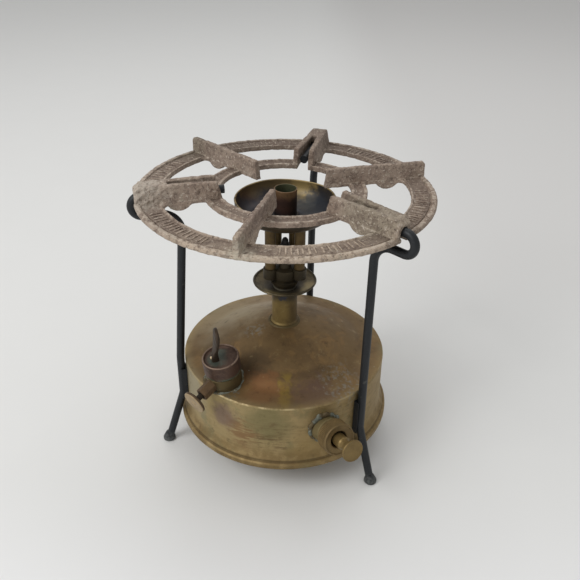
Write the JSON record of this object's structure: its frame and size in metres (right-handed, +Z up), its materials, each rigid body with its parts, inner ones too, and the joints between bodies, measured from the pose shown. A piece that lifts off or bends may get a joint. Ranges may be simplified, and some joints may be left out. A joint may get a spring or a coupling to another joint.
{
  "type": "kerosene pressure stove",
  "caption": "Brass kerosene pressure stove: round tank on wire legs, hand pump, burner on a central riser and a cast ring to carry a pan.",
  "frame": {"origin": "on the tank's axis, at the height of the table that the feet stand on", "axes": "+Z up along the tank's and burner's axis, +Y away from the pump and filler side, +X to the right when the filler cap is at the front left and the pump at the front right"},
  "size_m": [0.2252, 0.2318, 0.24],
  "materials": {
    "brass_tank": "aged, satin",
    "brass_dark": "heat-darkened, satin",
    "brass_bright": "worn, satin",
    "steel_black": "blackened, satin",
    "iron_ring": "bare, rough",
    "lead_soft": "dull",
    "leather_cup": "oiled",
    "rubber_seal": "matt",
    "steel_plain": "satin"
  },
  "bodies": {
    "stove": {"tank_shell": "brass_tank", "tank_bottom": "brass_tank", "riser": "brass_tank", "pickup_tube": "brass_tank", "spirit_cup": "brass_dark", "burner_washer": "lead_soft", "burner_base": "brass_dark", "up_tube_left": "brass_dark", "up_tube_right": "brass_dark", "return_tube_left": "brass_dark", "return_tube_right": "brass_dark", "jet": "brass_dark", "burner_head": "brass_dark", "burner_bowl": "brass_dark", "mixing_tube": "brass_dark", "pot_ring": "iron_ring", "leg_back": "steel_black", "leg_left": "steel_black", "leg_right": "steel_black", "leg_clip_back": "steel_black", "leg_clip_left": "steel_black", "leg_clip_right": "steel_black", "filler_boss": "brass_tank", "pump_boss": "brass_tank", "pump_barrel": "brass_tank", "valve_body": "brass_tank", "valve_spring": "steel_plain"},
    "plunger": {"pump_rod": "brass_bright", "pump_knob": "brass_bright", "piston_nut": "steel_plain", "pump_leather": "leather_cup", "piston_plate": "brass_tank"},
    "pump_cap_carrier": {"pump_cap_washer": "leather_cup"},
    "pump_cap_screw": {"pump_cap": "brass_tank"},
    "filler_carrier": {"filler_seal": "rubber_seal"},
    "filler_screw": {"filler_cap": "brass_dark", "cap_wing": "brass_dark", "wing_rivet": "brass_bright"},
    "air_carrier": {"air_screw_stem": "brass_tank"},
    "air_screw": {"air_screw_head": "brass_bright"},
    "valve_plug": {"valve_pip": "brass_tank", "pip_seal": "rubber_seal"}
  },
  "joints": [
    {"name": "pump_slide", "type": "slide", "parent": "stove", "child": "plunger", "axis": [0.4731, -0.8536, 0.2181], "range_m": [0, 0.062]},
    {"name": "pump_cap_travel", "type": "slide", "parent": "stove", "child": "pump_cap_carrier", "axis": [0.4731, -0.8536, 0.2181], "range_m": [0, 0.00562]},
    {"name": "pump_cap_turn", "type": "hinge", "parent": "pump_cap_carrier", "child": "pump_cap_screw", "pos_m": [0.04039, -0.09098, 0.06449], "axis": [0.4731, -0.8536, 0.2181], "range_deg": [0, 1350]},
    {"name": "filler_cap_travel", "type": "slide", "parent": "stove", "child": "filler_carrier", "axis": [-0.1026, -0.1181, 0.9877], "range_m": [0, 0.0049]},
    {"name": "filler_cap_turn", "type": "hinge", "parent": "filler_carrier", "child": "filler_screw", "pos_m": [-0.04744, -0.05458, 0.10418], "axis": [-0.1026, -0.1181, 0.9877], "range_deg": [0, 1260]},
    {"name": "air_screw_travel", "type": "slide", "parent": "stove", "child": "air_carrier", "axis": [-0.6239, -0.7178, -0.309], "range_m": [0, 0.0016]},
    {"name": "air_screw_turn", "type": "hinge", "parent": "air_carrier", "child": "air_screw", "pos_m": [-0.06638, -0.07637, 0.08441], "axis": [-0.6239, -0.7178, -0.309], "range_deg": [0, 720]},
    {"name": "valve_lift", "type": "slide", "parent": "stove", "child": "valve_plug", "axis": [-0.4731, 0.8536, -0.2181], "range_m": [0, 0.001], "stiffness_N_per_m": 100, "springref_m": -0.002, "deforming": ["valve_spring"]}
  ],
  "couplings": [
    {"joint": "pump_cap_turn", "follows": "pump_cap_travel", "rad_per_m": 4188.8},
    {"joint": "filler_cap_turn", "follows": "filler_cap_travel", "rad_per_m": 4488},
    {"joint": "air_screw_turn", "follows": "air_screw_travel", "rad_per_m": 7854}
  ]
}
